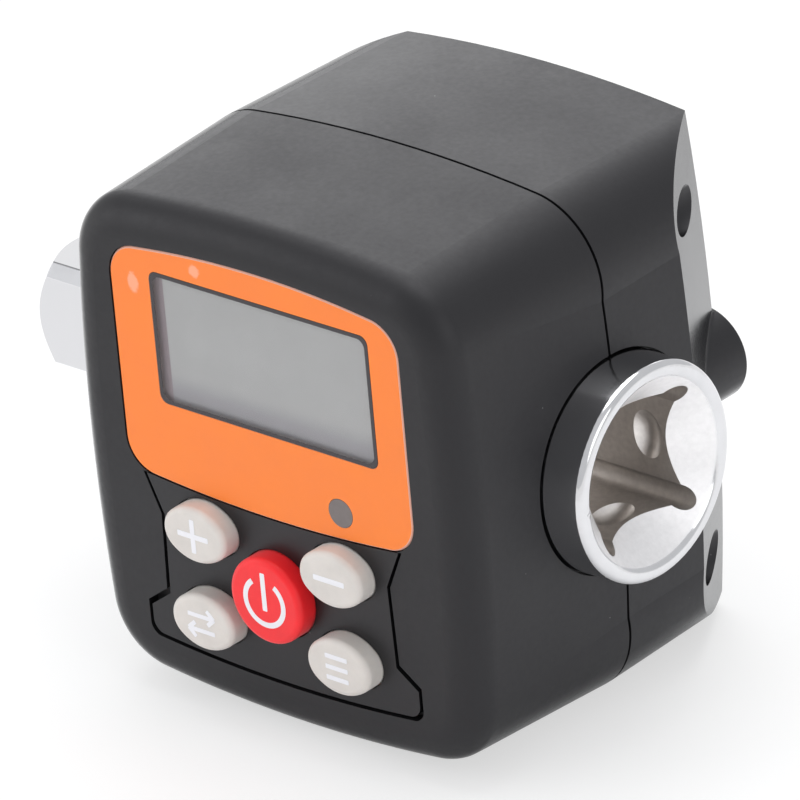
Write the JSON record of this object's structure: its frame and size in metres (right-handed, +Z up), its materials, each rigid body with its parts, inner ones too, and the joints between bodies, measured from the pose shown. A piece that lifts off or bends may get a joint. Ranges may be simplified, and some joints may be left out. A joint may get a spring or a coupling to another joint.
{
  "type": "digital torque adapter",
  "caption": "Digital torque adapter: moulded housing with display and keypad on a square drive shaft, female square on one side and male square on the other.",
  "frame": {"origin": "centre of the female square's mouth, in the plane of the ring's rim, on the shaft axis", "axes": "+X along the shaft, out of the female square; +Y to the back of the housing, away from the display; +Z up"},
  "size_m": [0.0804, 0.0507, 0.0594],
  "materials": {
    "case_black": "fine matt texture",
    "panel_black": "fine matt texture",
    "label_orange": "semi-matt film",
    "window_smoke": "gloss",
    "lcd_grey": "satin",
    "key_grey": "matt silicone",
    "key_red": "matt silicone",
    "mat_rubber": "matt",
    "inner_plastic": "plain",
    "lamp_lens": "gloss",
    "board_green": "solder mask",
    "chip_black": "moulded",
    "shaft_chrome": "polished",
    "spring_steel": "drawn",
    "screw_steel": "zinc plated",
    "bush_plastic": "moulded",
    "gauge_foil": "film",
    "contact_metal": "plated",
    "cell_jacket": "film"
  },
  "bodies": {
    "housing": {"front_case": "case_black", "rear_case": "case_black", "keypad_panel": "panel_black", "label_plate": "label_orange", "display_window": "window_smoke", "lcd_panel": "lcd_grey", "lcd_frame": "inner_plastic", "indicator_window": "lamp_lens", "indicator_led": "inner_plastic", "keypad_mat": "mat_rubber", "tact_switches": "contact_metal", "circuit_board": "board_green", "board_screws": "screw_steel", "board_chips": "chip_black", "buzzer": "chip_black", "torque_shaft": "shaft_chrome", "strain_gauges": "gauge_foil", "gauge_lead": "gauge_foil", "shaft_bush_left": "bush_plastic", "shaft_bush_right": "bush_plastic", "detent_spring": "spring_steel", "battery_cell": "cell_jacket", "battery_contact_plate": "contact_metal", "battery_contact_spring": "spring_steel", "case_screws": "screw_steel"},
    "plus_key": {"button_plus": "key_grey"},
    "minus_key": {"button_minus": "key_grey"},
    "unit_key": {"button_unit": "key_grey"},
    "mode_key": {"button_mode": "key_grey"},
    "power_key": {"button_power": "key_red"},
    "spring_ball": {"detent_ball": "spring_steel"},
    "door": {"battery_door": "case_black"}
  },
  "joints": [
    {"name": "plus_press", "type": "slide", "parent": "housing", "child": "plus_key", "axis": [0, 1, 0], "range_m": [0, 0.0007], "stiffness_N_per_m": 900, "springref_m": -0.0005},
    {"name": "minus_press", "type": "slide", "parent": "housing", "child": "minus_key", "axis": [0, 1, 0], "range_m": [0, 0.0007], "stiffness_N_per_m": 900, "springref_m": -0.0005},
    {"name": "unit_press", "type": "slide", "parent": "housing", "child": "unit_key", "axis": [0, 1, 0], "range_m": [0, 0.0007], "stiffness_N_per_m": 900, "springref_m": -0.0005},
    {"name": "mode_press", "type": "slide", "parent": "housing", "child": "mode_key", "axis": [0, 1, 0], "range_m": [0, 0.0007], "stiffness_N_per_m": 900, "springref_m": -0.0005},
    {"name": "power_press", "type": "slide", "parent": "housing", "child": "power_key", "axis": [0, 1, 0], "range_m": [0, 0.0007], "stiffness_N_per_m": 900, "springref_m": -0.0005},
    {"name": "ball_press", "type": "slide", "parent": "housing", "child": "spring_ball", "axis": [0, -1, 0], "range_m": [0, 0.0009], "stiffness_N_per_m": 3000, "springref_m": -0.0008, "deforming": ["detent_spring"]},
    {"name": "door_lift", "type": "slide", "parent": "housing", "child": "door", "axis": [0, 1, 0], "range_m": [0, 0.03]}
  ]
}
